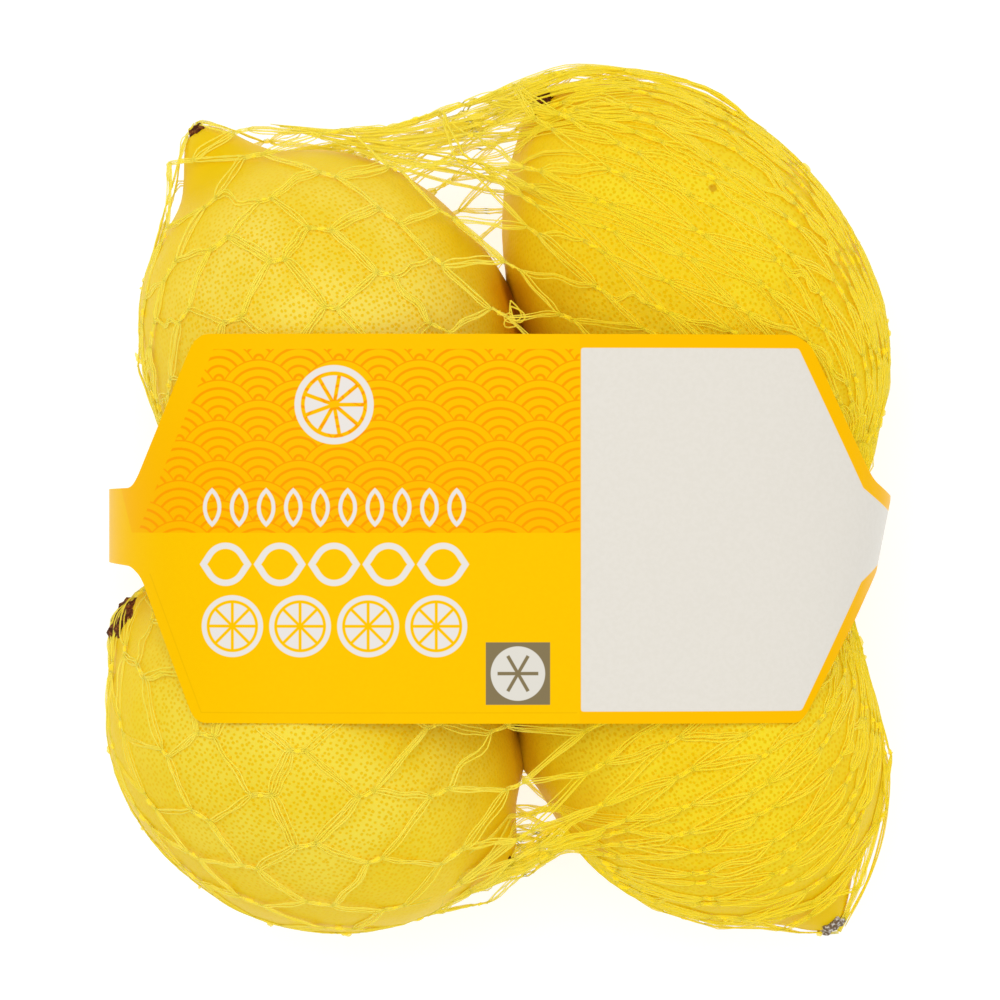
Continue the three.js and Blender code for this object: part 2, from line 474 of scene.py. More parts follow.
def ring_faces(rings, around):
    """Triangles between rings of points, each ring closed."""
    ring = np.arange(rings - 1)[:, None] * around
    here = np.arange(around)[None, :]
    after = (here + 1) % around
    quads = np.stack([ring + here, ring + after, ring + around + after, ring + around + here], axis=-1)
    quads = quads.reshape(-1, 4)
    return np.vstack([quads[:, [0, 1, 2]], quads[:, [0, 2, 3]]])


def closed_faces(rings, around):
    """The same, closed by a fan at each end: the two last points are the fans' middles."""
    ring = np.arange(around)
    after = (ring + 1) % around
    size = rings * around
    last = size - around
    return np.vstack(
        [
            ring_faces(rings, around),
            np.stack([np.full_like(ring, size), after, ring], axis=1),
            np.stack([np.full_like(ring, size + 1), last + ring, last + after], axis=1),
        ]
    )


def peel_material(fruit):
    """Waxy peel with darker oil glands: pale on top and deeper in colour on the flanks as a painted
    sheen and shade, and deeper in colour at the ends.
    """
    shader = Shader(
        "peel_" + fruit.name,
        Specular_IOR_Level=0.2,
        Specular_Tint=(1.0, 0.82, 0.1, 1.0),
        Subsurface_Weight=0.1,
        Subsurface_Scale=1.5 * MM,
        Subsurface_Radius=(1.0, 0.7, 0.15),
    )
    place = shader.place()
    x, y, z = shader.axes(place)
    middle = fruit.middle - PACK_MIDDLE
    across_x, across_y, above = x * 1000 - middle[0], y * 1000 - middle[1], z * 1000 - middle[2]
    along = across_x * fruit.axis[0] + across_y * fruit.axis[1]
    side = across_y * fruit.axis[0] - across_x * fruit.axis[1]
    reach = along / fruit.lemon["half"]
    turn = reach.low(0.9995).high(-0.9995).arc_cosine()
    around = side.angle_to(above) / TURN + 0.5
    # Oil glands: rows round the axis, each with as many glands as its own length takes.
    rows = (fruit.lemon["half"] + fruit.lemon["radius"]) / 2 / GLAND_SPACING
    row_place = turn * rows + shader.noise(place, 7.0) * 1.6
    row = row_place.floor()
    girth = ((row + 0.5) / rows).sine() * (TURN * fruit.lemon["radius"] / GLAND_SPACING)
    column_place = around * girth.high(FEWEST_GLANDS).rounded() + (row * ROW_SCRAMBLE).sine() * 5
    column = column_place.floor()
    cell = shader.node("ShaderNodeCombineXYZ", sockets={0: row, 1: column, 2: float(fruit.seed)})
    chance = shader.axes(shader.node("ShaderNodeTexWhiteNoise", sockets={"Vector": cell}, out=1))
    off_row = row_place - row - 0.5 - (chance[0] - 0.5) * GLAND_JITTER
    off_column = column_place - column - 0.5 - (chance[1] - 0.5) * GLAND_JITTER
    distance = (off_row * off_row + off_column * off_column).root()
    gland = (distance - chance[2] * 0.10).ramp(0.34, 0.12)
    blotch = shader.noise(place, 15.0, detail=3.0)
    fine = shader.noise(place, 0.5, detail=2.0)
    # Painted shade: the flanks get a deeper colour by height, so the pale ground shows only on top as a
    # painted sheen.
    shaded_flank = (above / fruit.lemon["radius"]).ramp(0.88, 0.34)
    ends = (abs(reach) + blotch * 0.24).ramp(0.98, 1.16)
    pale, deep = PEEL_COLOURS[fruit.name]
    ground = shader.mix(blotch.ramp(0.36, 0.66), linear(*pale), linear(*deep))
    ground = shader.mix(fine * 0.14, ground, linear(250, 230, 140))
    spot = shader.mix(blotch.ramp(0.3, 0.7), linear(239, 196, 4), linear(240, 194, 0))
    colour = shader.mix(gland * 0.9, ground, spot)
    # Painted shade on the flanks.
    colour = shader.mix(shaded_flank * 0.8, colour, linear(243, 206, 16))
    colour = shader.mix(ends * 0.85, colour, linear(239, 198, 2))
    start, end, depth = PAINTED_CREASE_SHADE[fruit.name]
    u = x * 1000 + PACK_MIDDLE[0]
    v = y * 1000 + PACK_MIDDLE[1]
    from_shade_line = abs(beyond(u, v, start, end)) + blotch * 0.6
    # The painted crease shade fades away from the label: upwards on the upper pair, downwards on the
    # lower.
    fade = (start[1] + 4, start[1] - 2) if start[1] > 0 else (start[1] - 3, start[1] + 1)
    crease_shade_strength = v.ramp(*fade) * depth
    # Painted shade along the crease between two fruits: orange, then brown nearest the line.
    colour = shader.mix(from_shade_line.ramp(6.0, 0.6) * crease_shade_strength * 0.85, colour, linear(224, 148, 0))
    colour = shader.mix(from_shade_line.ramp(1.5, 0.5) * crease_shade_strength * 0.8, colour, linear(128, 66, 8))
    if fruit.name in PEEL_MARKS:
        mark_x, mark_y, mark_size = PEEL_MARKS[fruit.name]
        from_mark = disc(u, v, mark_x, mark_y, 0.0)
        mark = (from_mark - shader.noise(place, 1.2) * 0.8).ramp(mark_size, mark_size * 0.2)
        colour = shader.mix(mark * 0.6, colour, linear(196, 122, 14))
    shader.set("Base Color", colour)
    shader.set("Roughness", 0.42 + fine * 0.12)
    dimples = shader.bump(1 - gland, 0.05, 0.45)
    shader.set("Normal", shader.bump(fine, 0.02, 0.6, normal=dimples))
    return shader.material


def wood_material(name, dark, middle, light):
    """Dry woody scar: dark fibres with paler, greyer flecks."""
    shader = Shader(name, Specular_IOR_Level=0.2, Roughness=0.85)
    place = shader.place()
    grain = shader.noise(place, 0.9, detail=4.0, roughness=0.7)
    flecks = shader.noise(place, 0.45, detail=2.0)
    colour = shader.mix(grain.ramp(0.42, 0.62), dark, middle)
    colour = shader.mix(flecks.ramp(0.50, 0.66) * 0.8, colour, light)
    shader.set("Base Color", colour)
    shader.set("Normal", shader.bump(grain, 0.25, 0.9))
    return shader.material


def on_peel(fruit, towards):
    """Points where rays from the fruit's middle leave the peel, by halving."""
    low = np.zeros(len(towards))
    high = np.full(len(towards), 60.0)
    for _ in range(40):
        half = (low + high) / 2
        along, away, _ = fruit.split(fruit.middle + half[:, None] * towards)
        inside = away < np.interp(along, fruit.along, fruit.away, left=-1, right=-1)
        low = np.where(inside, half, low)
        high = np.where(inside, high, half)
    return fruit.middle + low[:, None] * towards


def make_scar(name, material):
    """A scar or dried calyx: a thin, lobed, uneven disc that lies on the peel."""
    fruit_name, end, rise, radius, height, lobes = SCARS[name]
    fruit = FRUITS[list(LEMONS).index(fruit_name)]
    rng = np.random.default_rng(40 + list(SCARS).index(name))
    up = np.array([0, 0, 1.0])
    rise = math.radians(rise)
    towards = end * math.cos(rise) * fruit.axis + math.sin(rise) * up
    first = np.cross(towards, up)
    first /= np.linalg.norm(first)
    second = np.cross(first, towards)
    reach = np.linalg.norm(on_peel(fruit, towards[None])[0] - fruit.middle)
    rings, around = SCAR_RINGS, SCAR_STEPS_ROUND
    angle = np.arange(around) * (TURN / around)
    phases = rng.uniform(0, TURN, 3)
    outline = 1 + 0.13 * np.cos(lobes * angle + phases[0]) + 0.07 * np.cos(3 * angle + phases[1])
    outline += 0.05 * np.cos(11 * angle + phases[2])
    share = np.linspace(0.02, 1, rings)
    spread = share[:, None] * outline[None] * radius / reach
    rays = (
        towards
        + (spread * np.cos(angle))[:, :, None] * first
        + (spread * np.sin(angle))[:, :, None] * second
    ).reshape(-1, 3)
    skin = on_peel(fruit, rays / np.linalg.norm(rays, axis=1, keepdims=True))
    along, _, out = fruit.split(skin)
    direction, _ = fruit.normals(along, out)
    rough = waves(skin, 70, 24, 0.9, 2.6)
    profile = np.repeat((1 - share**5) * (0.55 + 0.45 * np.cos(share * 5) ** 2), around)
    top = skin + (profile * height * (1 + 0.35 * rough) + SCAR_LIFT)[:, None] * direction
    under = skin - SCAR_DEPTH * direction
    # The top's rings go out to the rim, and the underside's come back in from it.
    under = under.reshape(rings, around, 3)[::-1].reshape(-1, 3)
    points = np.vstack([top, under, top[:around].mean(0), under[-around:].mean(0)])
    faces = closed_faces(2 * rings, around)
    return make_piece(name, points, faces, material, "stem")


def make_lemon(fruit):
    turn = np.linspace(0, math.pi, LEMON_STEPS_ALONG)[1:-1]
    away, along = section(fruit.lemon, turn)
    side = np.cross(fruit.axis, [0, 0, 1.0])
    up = np.array([0, 0, 1.0])
    angle = np.arange(LEMON_STEPS_ROUND) * (TURN / LEMON_STEPS_ROUND)
    out = np.cos(angle)[:, None] * side + np.sin(angle)[:, None] * up
    points = fruit.middle + along[:, None, None] * fruit.axis + away[:, None, None] * out[None]
    points = points.reshape(-1, 3)
    place_along, _, outward = fruit.split(points)
    direction, _ = fruit.normals(place_along, outward)
    settled = np.clip(np.repeat(away, LEMON_STEPS_ROUND) / 4.0, 0, 1)
    points += (fruit.lumps(points) * settled)[:, None] * direction
    points = np.vstack([points, fruit.tip(1), fruit.tip(-1)])
    points[:, 2] = np.maximum(points[:, 2], FRUIT_FLOOR)
    faces = closed_faces(LEMON_STEPS_ALONG - 2, LEMON_STEPS_ROUND)
    return make_piece("lemon_" + fruit.name, points, faces, peel_material(fruit), "peel")


# Net


def smooth_step(start, end, value):
    t = np.clip((value - start) / (end - start), 0, 1)
    return t * t * (3 - 2 * t)


def arch_height(x, inset=0.0):
    """Height of the label's outer face over the table, or of a face inset below it."""
    span = LABEL_HALF_SPAN - inset
    reach = np.clip(np.abs(x) / span, 0, 0.9999)
    rise = LABEL_CREST_Z + LABEL_SLOPE * x - inset - LABEL_END_Z
    return LABEL_END_Z + rise * (1 - reach**ARCH_POWER) ** (1 / ARCH_POWER)


def keep_under_label(points, inset):
    x, y, z = points.T
    lower = np.interp(x, *np.array(LABEL_LOWER_EDGE).T) - 1
    upper = np.interp(x, *np.array(LABEL_UPPER_EDGE).T) + 1
    top = arch_height(x, inset)
    over = (y > lower) & (y < upper) & (z > top)
    points[over, 2] = top[over]


def keep_in_outline(points):
    x = points[:, 0]
    points[:, 1] = np.minimum(points[:, 1], np.interp(x, *np.array(TOP_EDGE, float).T))
    points[:, 1] = np.maximum(points[:, 1], np.interp(x, *np.array(BOTTOM_EDGE, float).T))
    points[:, 2] = np.maximum(points[:, 2], FILAMENT_RADIUS)


def net_start():
    """Joints of the net laid out on a big flat pouch round the fruit, two points to a joint."""
    joints = np.zeros((NET_ROWS, NET_COLUMNS, 2, 3))
    turn = np.linspace(-TURN / 4, TURN / 4, 161)
    x = POUCH_HALF_LENGTH * np.sign(turn) * np.abs(np.sin(turn)) ** POUCH_POWER
    fullness = np.abs(np.cos(turn)) ** POUCH_POWER
    for row in range(NET_ROWS):
        share = (row / (NET_ROWS - 1)) ** ROW_POWER
        change = smooth_step(0.42, 0.6, share)
        front = LEFT_FRONT_SHARE + (RIGHT_FRONT_SHARE - LEFT_FRONT_SHARE) * change
        for column in range(NET_COLUMNS):
            around = (column + 0.5 * (row % 2)) / NET_COLUMNS * 2 - 1
            if abs(around) < front:
                angle = abs(around) / front * 0.5
            else:
                angle = 0.5 + (abs(around) - front) / (1 - front) * 0.5
            angle *= math.pi * (1 if around >= 0 else -1)
            y = SEAL_Y + (5.0 + fullness * POUCH_REACH_Y) * math.sin(angle)
            z = SEAL_Z + (1.5 + fullness * POUCH_REACH_Z) * math.cos(angle)
            path = np.stack([x, y, z], axis=1)
            length = np.concatenate([[0], np.cumsum(np.linalg.norm(np.diff(path, axis=0), axis=1))])
            for end in (0, 1):
                reach = np.clip(share * length[-1] + (end - 0.5) * JOINT_LENGTH, 0, length[-1])
                joints[row, column, end] = [np.interp(reach, length, path[:, k]) for k in range(3)]
    return joints.reshape(-1, 3)


def net_links():
    """Which points are the two ends of a joint, and which ends a strand runs between."""

    def point(row, column, end):
        return (row * NET_COLUMNS + column % NET_COLUMNS) * 2 + end

    joints, strands = [], []
    for row in range(NET_ROWS):
        for column in range(NET_COLUMNS):
            joints.append((point(row, column, 0), point(row, column, 1)))
            if row < NET_ROWS - 1:
                for sideways in (0, -1) if row % 2 == 0 else (0, 1):
                    strands.append((point(row, column, 1), point(row + 1, column + sideways, 0)))
    return np.array(joints), np.array(strands)


def relax_net():
    """Draws the net tight over the fruit. Returns its points, joints, strands and their lengths."""
    rng = np.random.default_rng(4)
    points = net_start()
    joints, strands = net_links()
    share = np.arange(1, STRAND_PARTS) / STRAND_PARTS
    first, last = points[strands[:, 0]], points[strands[:, 1]]
    between = first[:, None] + (last - first)[:, None] * share[None, :, None]
    inner = len(points) + np.arange(between.shape[0] * between.shape[1]).reshape(len(strands), -1)
    strands = np.hstack([strands[:, :1], inner, strands[:, 1:]])
    points = np.vstack([points, between.reshape(-1, 3)])
    count = len(points)
    one = np.concatenate([joints[:, 0]] + [strands[:, k] for k in range(STRAND_PARTS)])
    two = np.concatenate([joints[:, 1]] + [strands[:, k + 1] for k in range(STRAND_PARTS)])
    row = strands[:, 0] // (2 * NET_COLUMNS) / (NET_ROWS - 1)
    stretch = 1 + (RIGHT_CELL_STRETCH - 1) * smooth_step(0.45, 0.6, row)
    strand_rest = STRAND_LENGTH * stretch * (1 + 0.16 * rng.standard_normal(len(strands)))
    pull = np.exp(0.5 * rng.standard_normal(len(strands))) / stretch
    pull = np.concatenate([np.ones(len(joints))] + [pull] * STRAND_PARTS)
    joint_rest = JOINT_LENGTH * np.clip(1 + 0.4 * rng.standard_normal(len(joints)), 0.3, 2.0)
    rest = np.concatenate([joint_rest] + [strand_rest / STRAND_PARTS] * STRAND_PARTS)
    per_row = 2 * NET_COLUMNS
    joint_points = per_row * NET_ROWS
    sealed = np.zeros(count, bool)
    for bunch, x in (
        (slice(0, per_row), LEFT_BUNCH_X),
        (slice(joint_points - per_row, joint_points), RIGHT_BUNCH_X),
    ):
        sealed[bunch] = True
        points[bunch, 0] = x
    for snag in SNAGS:
        reach = np.linalg.norm(points[:joint_points] - np.array(snag), axis=1)
        reach[sealed[:joint_points]] = np.inf
        caught = int(reach.argmin())
        points[caught] = snag
        sealed[caught] = True
    free = ~sealed
    points[free] += rng.normal(0, 0.25, (free.sum(), 3))
    held = points[sealed].copy()
    degree = (np.bincount(one, minlength=count) + np.bincount(two, minlength=count))[:, None]
    total_pull = (np.bincount(one, pull, count) + np.bincount(two, pull, count))[:, None]

    def gathered(vectors):
        """What each point gets of the vectors along its links."""
        total = np.zeros((count, 3))
        for k, part in enumerate(vectors.T):
            total[:, k] = np.bincount(one, part, count) - np.bincount(two, part, count)
        return total

    for _ in range(NET_STEPS):
        before = points.copy()
        points += NET_PULL * gathered((points[two] - points[one]) * pull[:, None]) / total_pull
        for _ in range(LENGTH_ROUNDS):
            span = points[two] - points[one]
            length = np.linalg.norm(span, axis=1) + 1e-9
            excess = 0.5 * np.maximum(0, length - rest) / length
            points += LENGTH_FORCE * gathered(span * excess[:, None]) / np.maximum(degree * 0.5, 1)
            points[sealed] = held
        for fruit in FRUITS:
            touching, direction = fruit.push_out(points, NET_CLEARANCE)
            moved = points - before
            sliding = moved - (moved * direction).sum(1)[:, None] * direction
            points[touching] -= PEEL_DRAG * sliding[touching]
        for fruit in FRUITS:
            fruit.push_out(points, NET_CLEARANCE)
        keep_under_label(points, CLEAR_OF_LABEL)
        points[:, 0] = np.clip(points[:, 0], NET_LEFT_X, NET_RIGHT_X)
        keep_in_outline(points)
        points[sealed] = held
    return points, joints, strands, strand_rest


def nearest_direction(points):
    """The way out of the pack at each point: away from the nearest fruit's axis."""
    best = np.full(len(points), np.inf)
    direction = np.zeros_like(points)
    for fruit in FRUITS:
        along, away, out = fruit.split(points)
        surface = np.interp(along, fruit.along, fruit.away)
        gap = away - surface + np.maximum(0, np.abs(along) - fruit.along[-1])
        closer = gap < best
        best[closer] = gap[closer]
        direction[closer] = out[closer]
    return direction


def unit(vectors):
    """The vectors' directions, each of length 1."""
    return vectors / (np.linalg.norm(vectors, axis=-1, keepdims=True) + 1e-9)


def resample(paths, count, ahead=None, behind=None):
    """Catmull-Rom curves through each row of points, at count even parameters."""
    if ahead is None:
        ahead = 2 * paths[:, 0] - paths[:, 1]
        behind = 2 * paths[:, -1] - paths[:, -2]
    knots = np.concatenate([ahead[:, None], paths, behind[:, None]], axis=1)
    spans = paths.shape[1] - 1
    where = np.linspace(0, spans, count)
    span = np.minimum(where.astype(int), spans - 1)
    t = (where - span)[None, :, None]
    p0, p1, p2, p3 = (knots[:, span + k] for k in range(4))
    bend = (2 * p0 - 5 * p1 + 4 * p2 - p3) * t**2
    return 0.5 * (2 * p1 + (p2 - p0) * t + bend + (3 * p1 - p0 - 3 * p2 + p3) * t**3)


def settle(paths, clearance):
    """Keeps fine strands off the uneven peel, under the label and over the table."""
    points = paths.reshape(-1, 3)
    for _ in range(2):
        for fruit in FRUITS:
            fruit.push_out(points, clearance, lumpy=True)
    keep_under_label(points, CLEAR_OF_LABEL)
    points[:, 2] = np.maximum(points[:, 2], FILAMENT_RADIUS)
    return points.reshape(paths.shape)


def side_vectors(paths):
    """Unit vectors across each path: along the peel, and out from it."""
    tangent = unit(np.gradient(paths, axis=1))
    outward = nearest_direction(paths.reshape(-1, 3)).reshape(paths.shape)
    across = unit(np.cross(tangent, outward))
    return across, np.cross(across, tangent)


def tubes(paths, radii, sides):
    """Closed tubes along the paths, all with the same number of rings."""
    number, rings, _ = paths.shape
    across, out = side_vectors(paths)
    angle = (np.arange(sides) * (TURN / sides) + 0.4)[None, None, :, None]
    ring = np.cos(angle) * across[:, :, None] + np.sin(angle) * out[:, :, None]
    points = (paths[:, :, None] + ring * radii[:, :, None, None]).reshape(-1, 3)
    points[:, 2] = np.maximum(points[:, 2], TABLE_CLEARANCE)
    walls = ring_faces(rings, sides)
    fan = np.arange(1, sides - 1)
    start = np.stack([np.zeros_like(fan), fan + 1, fan], axis=1)
    end = np.stack([np.zeros_like(fan), fan, fan + 1], axis=1) + (rings - 1) * sides
    faces = np.vstack([walls, start, end])[:, ::-1]
    offsets = (np.arange(number) * rings * sides)[:, None, None]
    return points, (faces[None] + offsets).reshape(-1, 3)


def strand_filaments(points, strands, rest, rng):
    """The strands of the net between its joints, as filaments."""
    other_end = points[strands[:, 0] - 1], points[strands[:, -1] + 1]
    base = resample(points[strands], 10, *other_end)
    length = np.linalg.norm(np.diff(base, axis=1), axis=2).sum(1)
    return part_filaments(base, length, np.clip(rest / length - 1, 0, 0.35), rng)


def web_filaments(rng):
    """Layers of net drawn together across the gaps between the fruit, between two edges."""
    paths = []
    for outer, inner, number in WEBS:
        outer, inner = np.array(outer, float), np.array(inner, float)
        start = rng.random(number) ** 1.3
        end = np.clip(start + rng.normal(0, 0.42, number), 0, 1)
        along = np.linspace(0, 1, len(outer))[None]
        wander = rng.normal(0, 0.05, (number, len(outer)))
        share = np.clip(start[:, None] + (end - start)[:, None] * along + wander, 0, 1)[:, :, None]
        base = resample(outer[None] * (1 - share) + inner[None] * share, 22)
        paths.append(part_filaments(base, np.full(number, 14.0), np.full(number, 0.06), rng))
    return np.concatenate(paths)


def part_filaments(base, length, slack, rng):
    """Each strand is two to five fine filaments that part and meet again."""
    rings = base.shape[1]
    across, out = side_vectors(base)
    t = np.linspace(0, 1, rings)[None]
    belly = 0.3 + 0.7 * np.clip(2.2 * np.sin(math.pi * t), 0, 1)
    swing = np.minimum(0.6, 0.12 * length * np.sqrt(slack))[:, None] * rng.normal(size=(len(base), 1))
    halves = rng.uniform(0.9, 3.2, (len(base), 1))
    common = swing * np.sin(math.pi * halves * t) * np.sin(math.pi * t)
    paths = []
    for place, chance in FILAMENTS:
        keep = rng.random(len(base)) < chance
        spread = place + rng.uniform(-0.16, 0.16, (len(base), 1))
        phase = rng.uniform(0, TURN, (len(base), 1))
        ripple = 0.13 * np.sin(rng.uniform(5, 12, (len(base), 1)) * t + phase)
        sideways = common + spread * belly + ripple * np.sin(math.pi * t)
        lift = 0.12 * np.abs(np.sin(2.5 * math.pi * t + phase)) * belly
        path = base + sideways[:, :, None] * across + lift[:, :, None] * out
        paths.append(path[keep])
    return settle(np.concatenate(paths), FILAMENT_RADIUS + 0.02)


def joint_filaments(points, joints, rng):
    """Where two strands go side by side, their filaments run together and cross."""
    rings = 5
    base = resample(points[joints], rings)
    t = np.linspace(0, 1, rings)[None]
    across, out = side_vectors(base)
    paths = []
    for place in (-0.26, 0.0, 0.26):
        phase = rng.uniform(0, TURN, (len(base), 1))
        sideways = place * rng.uniform(0.5, 1.3, (len(base), 1)) + 0.1 * np.sin(TURN * t + phase)
        lift = 0.14 * np.abs(np.sin(TURN * t + phase))
        paths.append(base + sideways[:, :, None] * across + lift[:, :, None] * out)
    return settle(np.concatenate(paths), FILAMENT_RADIUS + 0.04)


def knots(points, joints, rng):
    """The small bright knot in each joint: a short, fat, uneven tube."""
    rings = 6
    first, last = points[joints[:, 0]], points[joints[:, 1]]
    middle = (first + last) / 2 + rng.normal(0, 0.12, first.shape)
    along = unit(last - first) + rng.normal(0, 0.25, first.shape)
    reach = rng.uniform(0.35, 0.8, (len(first), 1, 1)) * np.linspace(-1, 1, rings)[None, :, None]
    paths = settle(middle[:, None] + along[:, None] * reach, 0.36)
    t = np.linspace(-1, 1, rings)[None]
    round_off = np.sqrt(np.maximum(0.06, 1 - t**2))
    thickness = rng.uniform(0.26, 0.40, (len(first), 1)) * round_off
    return paths, thickness * (1 + 0.15 * rng.normal(size=thickness.shape))


def bunch_filaments(points, rng):
    """The net's ends run on from the bunch, side by side, to the seal under each label tab."""
    rings = 12
    per_row = 2 * NET_COLUMNS
    last_row = per_row * (NET_ROWS - 1)
    t = np.linspace(0, 1, rings)[None, :, None]
    paths = []
    for start, seal_x in ((0, LEFT_SEAL_X), (last_row, RIGHT_SEAL_X)):
        inner = points[start : start + per_row]
        offset = inner - np.array([0, SEAL_Y, SEAL_Z])
        around = np.arctan2(offset[:, 2], offset[:, 1])
        fill = rng.uniform(0.3, 1.0, len(inner))
        y = SEAL_Y + 5.2 * fill * np.cos(around)
        z = SEAL_Z - 3.0 + 1.6 * fill * np.sin(around)
        outer = np.stack([np.full(len(inner), seal_x), y, z], axis=1)
        path = inner[:, None] + (outer - inner)[:, None] * t
        wander = np.cumsum(rng.normal(0, 0.12, path.shape), axis=1) * np.sin(math.pi * t)
        paths.append(path + wander)
    return np.concatenate(paths)


def loose_loops(rng):
    """Loose loops of strand in the upper crease, beside the label."""
    rings = 26
    t = np.linspace(0, 1, rings)[:, None]
    paths = []
    for place, heading, length, curl in LOOSE_LOOPS:
        for _ in range(2):
            start = np.array(place) + rng.normal(0, 0.35, 3)
            angle = math.radians(heading) + rng.normal(0, 0.2)
            along = np.array([math.cos(angle), math.sin(angle), rng.normal(0, 0.15)])
            side = np.array([-math.sin(angle), math.cos(angle), 0])
            phase = rng.uniform(0, TURN)
            wind = TURN * t
            out_and_back = np.sin(math.pi * t)
            path = start + along * length * out_and_back * rng.uniform(0.7, 1.1)
            path = path + curl * np.sin(wind) * side
            path = path + 0.5 * curl * out_and_back * np.sin(wind + phase) * np.array([0, 0, 1.0])
            paths.append(path)
    return settle(np.array(paths), FILAMENT_RADIUS + 0.02)


def net_material(name, light, deep):
    """Yellow polyethylene filament: lets light through, and a painted glow lifts its shaded sides, so
    that it hardly shades itself.
    """
    shader = Shader(
        name,
        Specular_IOR_Level=0.22,
        Specular_Tint=(1.0, 0.9, 0.4, 1.0),
        Roughness=0.4,
        Alpha=0.58,
        Sheen_Weight=0.6,
        Sheen_Tint=(1.0, 0.86, 0.2, 1.0),
        Emission_Strength=NET_PAINTED_GLOW,
    )
    place = shader.place()
    # The net looks paler over the paler fruit on the left.
    right = (shader.axes(place)[0] * 1000).ramp(-4, 14)
    tone = shader.noise(place, 6.0, detail=2.0)
    fine = shader.noise(place, 0.6)
    colour = shader.mix(tone.ramp(0.35, 0.65), light, deep)
    colour = shader.mix(fine * 0.35, colour, linear(255, 240, 130))
    colour = shader.mix(right * 0.6, colour, linear(246, 222, 10))
    shader.set("Base Color", colour)
    # Colour of the painted glow.
    shader.set("Emission Color", shader.mix(right, linear(244, 228, 58), linear(246, 226, 12)))
    shader.set("Normal", shader.bump(fine, 0.03, 0.5))
    return shader.material


def make_net():
    points, joints, strands, strand_rest = relax_net()
    rng = np.random.default_rng(9)
    filament = net_material("net_filament", linear(243, 228, 84), linear(240, 222, 52))
    knot = net_material("net_knot", linear(247, 226, 14), linear(247, 221, 0))
    knot_paths, knot_radii = knots(points, joints, rng)
    # Paths, thickness, sides of the tube, and whether its ends are drawn out thin.
    kinds = [
        (strand_filaments(points, strands, strand_rest, rng), 1.0, 3, False),
        (joint_filaments(points, joints, rng), 1.1, 3, False),
        (bunch_filaments(points, rng), 1.5, 4, False),
        (loose_loops(rng), 0.95, 4, False),
        (web_filaments(rng), 1.0, 3, True),
    ]
    parts = []
    for paths, thickness, sides, drawn_out in kinds:
        radii = thickness * FILAMENT_RADIUS * rng.uniform(0.82, 1.18, (len(paths), 1))
        reach = np.linspace(0, 1, paths.shape[1])[None]
        taper = np.clip(12 * np.minimum(reach, 1 - reach), 0.25, 1) if drawn_out else 1
        parts.append((paths, np.broadcast_to(radii * taper, paths.shape[:2]), sides))
    for layer, (low, high) in LAYER_HEIGHTS.items():
        points_so_far, faces_so_far, count = [], [], 0
        for paths, radii, sides in parts:
            height = paths[:, :, 2].mean(1)
            chosen = (height >= low) & (height < high)
            if not chosen.any():
                continue
            tube_points, tube_faces = tubes(paths[chosen], radii[chosen], sides)
            points_so_far.append(tube_points)
            faces_so_far.append(tube_faces + count)
            count += len(tube_points)
        layer_points, layer_faces = np.vstack(points_so_far), np.vstack(faces_so_far)
        make_piece("net_layer_" + layer, layer_points, layer_faces, filament, "net")
    make_piece("net_knots", *tubes(knot_paths, knot_radii, 6), knot, "net")


# Label


def edge_curve(corners, x):
    """A label edge through its corners, each rounded a little."""
    corners = np.array(corners)
    offsets = (-0.5, -0.25, 0, 0.25, 0.5)
    return np.mean([np.interp(x + shift, corners[:, 0], corners[:, 1]) for shift in offsets], axis=0)


def beyond(u, v, start, end):
    """Distance past the line from start to end, counted to its right-hand side."""
    run, rise = end[0] - start[0], end[1] - start[1]
    length = math.hypot(run, rise)
    return (u - start[0]) * (rise / length) - (v - start[1]) * (run / length)


def polygon(u, v, corners, rounding=0.6):
    """Distance outside a convex shape whose corners go round to the left."""
    total = None
    for start, end in zip(corners, corners[1:] + corners[:1]):
        edge = beyond(u, v, start, end)
        total = edge if total is None else total.smooth_high(edge, rounding)
    return total


def disc(u, v, x, y, radius):
    return ((u - x) * (u - x) + (v - y) * (v - y)).root() - radius


def shown(distance):
    """1 inside a shape and 0 outside it, with the soft edge of print."""
    return distance.ramp(PRINT_SOFTNESS, -PRINT_SOFTNESS)


def outline_of(distance, width):
    return abs(distance + width / 2) - width / 2


def slice_shape(u, v, x, y, radius, segments):
    """A cut citrus slice: rim and segments, as a distance."""
    from_x, from_y = u - x, v - y
    away = (from_x * from_x + from_y * from_y).root()
    turn = from_y.angle_to(from_x) * (segments / TURN)
    beside_spoke = abs((turn + 0.5).fraction() - 0.5) * (TURN / segments) * away
    flesh = (away - radius * 0.74).high(0.05 * radius - beside_spoke)
    rim = abs(away - radius * 0.92) - radius * 0.08
    return flesh.low(rim)


def scallops(u, v, width):
    """Rows of overlapping scallops; gives the distance from the middle of the one on top."""
    radius = width / 2
    step = radius / 2
    level = v / step
    row = level.floor()
    nearest = None
    for back in (1, 0, -1):
        this_row = row + back
        odd = abs((this_row * 0.5).fraction()) * 2
        sideways = ((u / width + odd * 0.5).fraction() - 0.5) * width
        up = v - this_row * step
        away = (sideways * sideways + up * up).root() / radius
        if nearest is None:
            nearest = away
        else:
            covered = away.ramp(1.001, 0.999)
            nearest = away * covered + nearest * (1 - covered)
    return nearest


def repeated(u, pitch):
    """Place within one ornament of a row, counted from the ornament's middle."""
    return ((u - ART_MIDDLE + ART_HALF_WIDTH) / pitch).fraction() * pitch - pitch / 2


